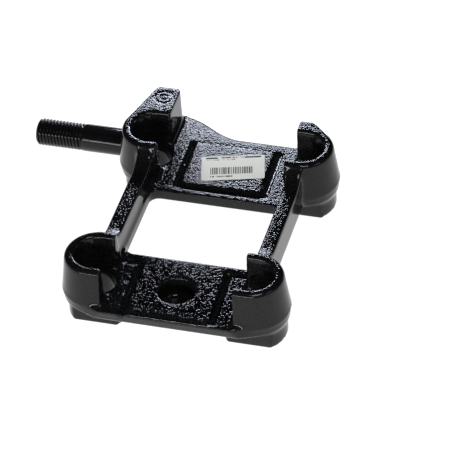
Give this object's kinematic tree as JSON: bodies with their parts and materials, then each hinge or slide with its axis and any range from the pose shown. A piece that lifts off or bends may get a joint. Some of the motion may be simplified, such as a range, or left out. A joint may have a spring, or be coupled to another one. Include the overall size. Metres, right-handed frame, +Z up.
{
  "type": "leaf spring U-bolt plate",
  "caption": "Cast iron clamp plate for a truck leaf spring, with open U-bolt towers at its corners, a window, side ribs and a threaded side stud for a shock absorber.",
  "frame": {"origin": "middle of the U-bolt pattern on the plane of the feet, where the U-bolt nuts bear", "axes": "+Z up, towards the spring; +X along the axle, away from the stud; +Y along the spring, towards the stud boss"},
  "size_m": [0.233, 0.2145, 0.051],
  "materials": {
    "painted_casting": "gloss black paint over a rough sand-cast iron skin",
    "stud_steel": "black painted turned steel with a rolled thread",
    "label_paper": "matt white self-adhesive paper with black print"
  },
  "bodies": {
    "root": {"plate_casting": "painted_casting", "shock_absorber_stud": "stud_steel", "barcode_label": "label_paper"}
  },
  "joints": []
}
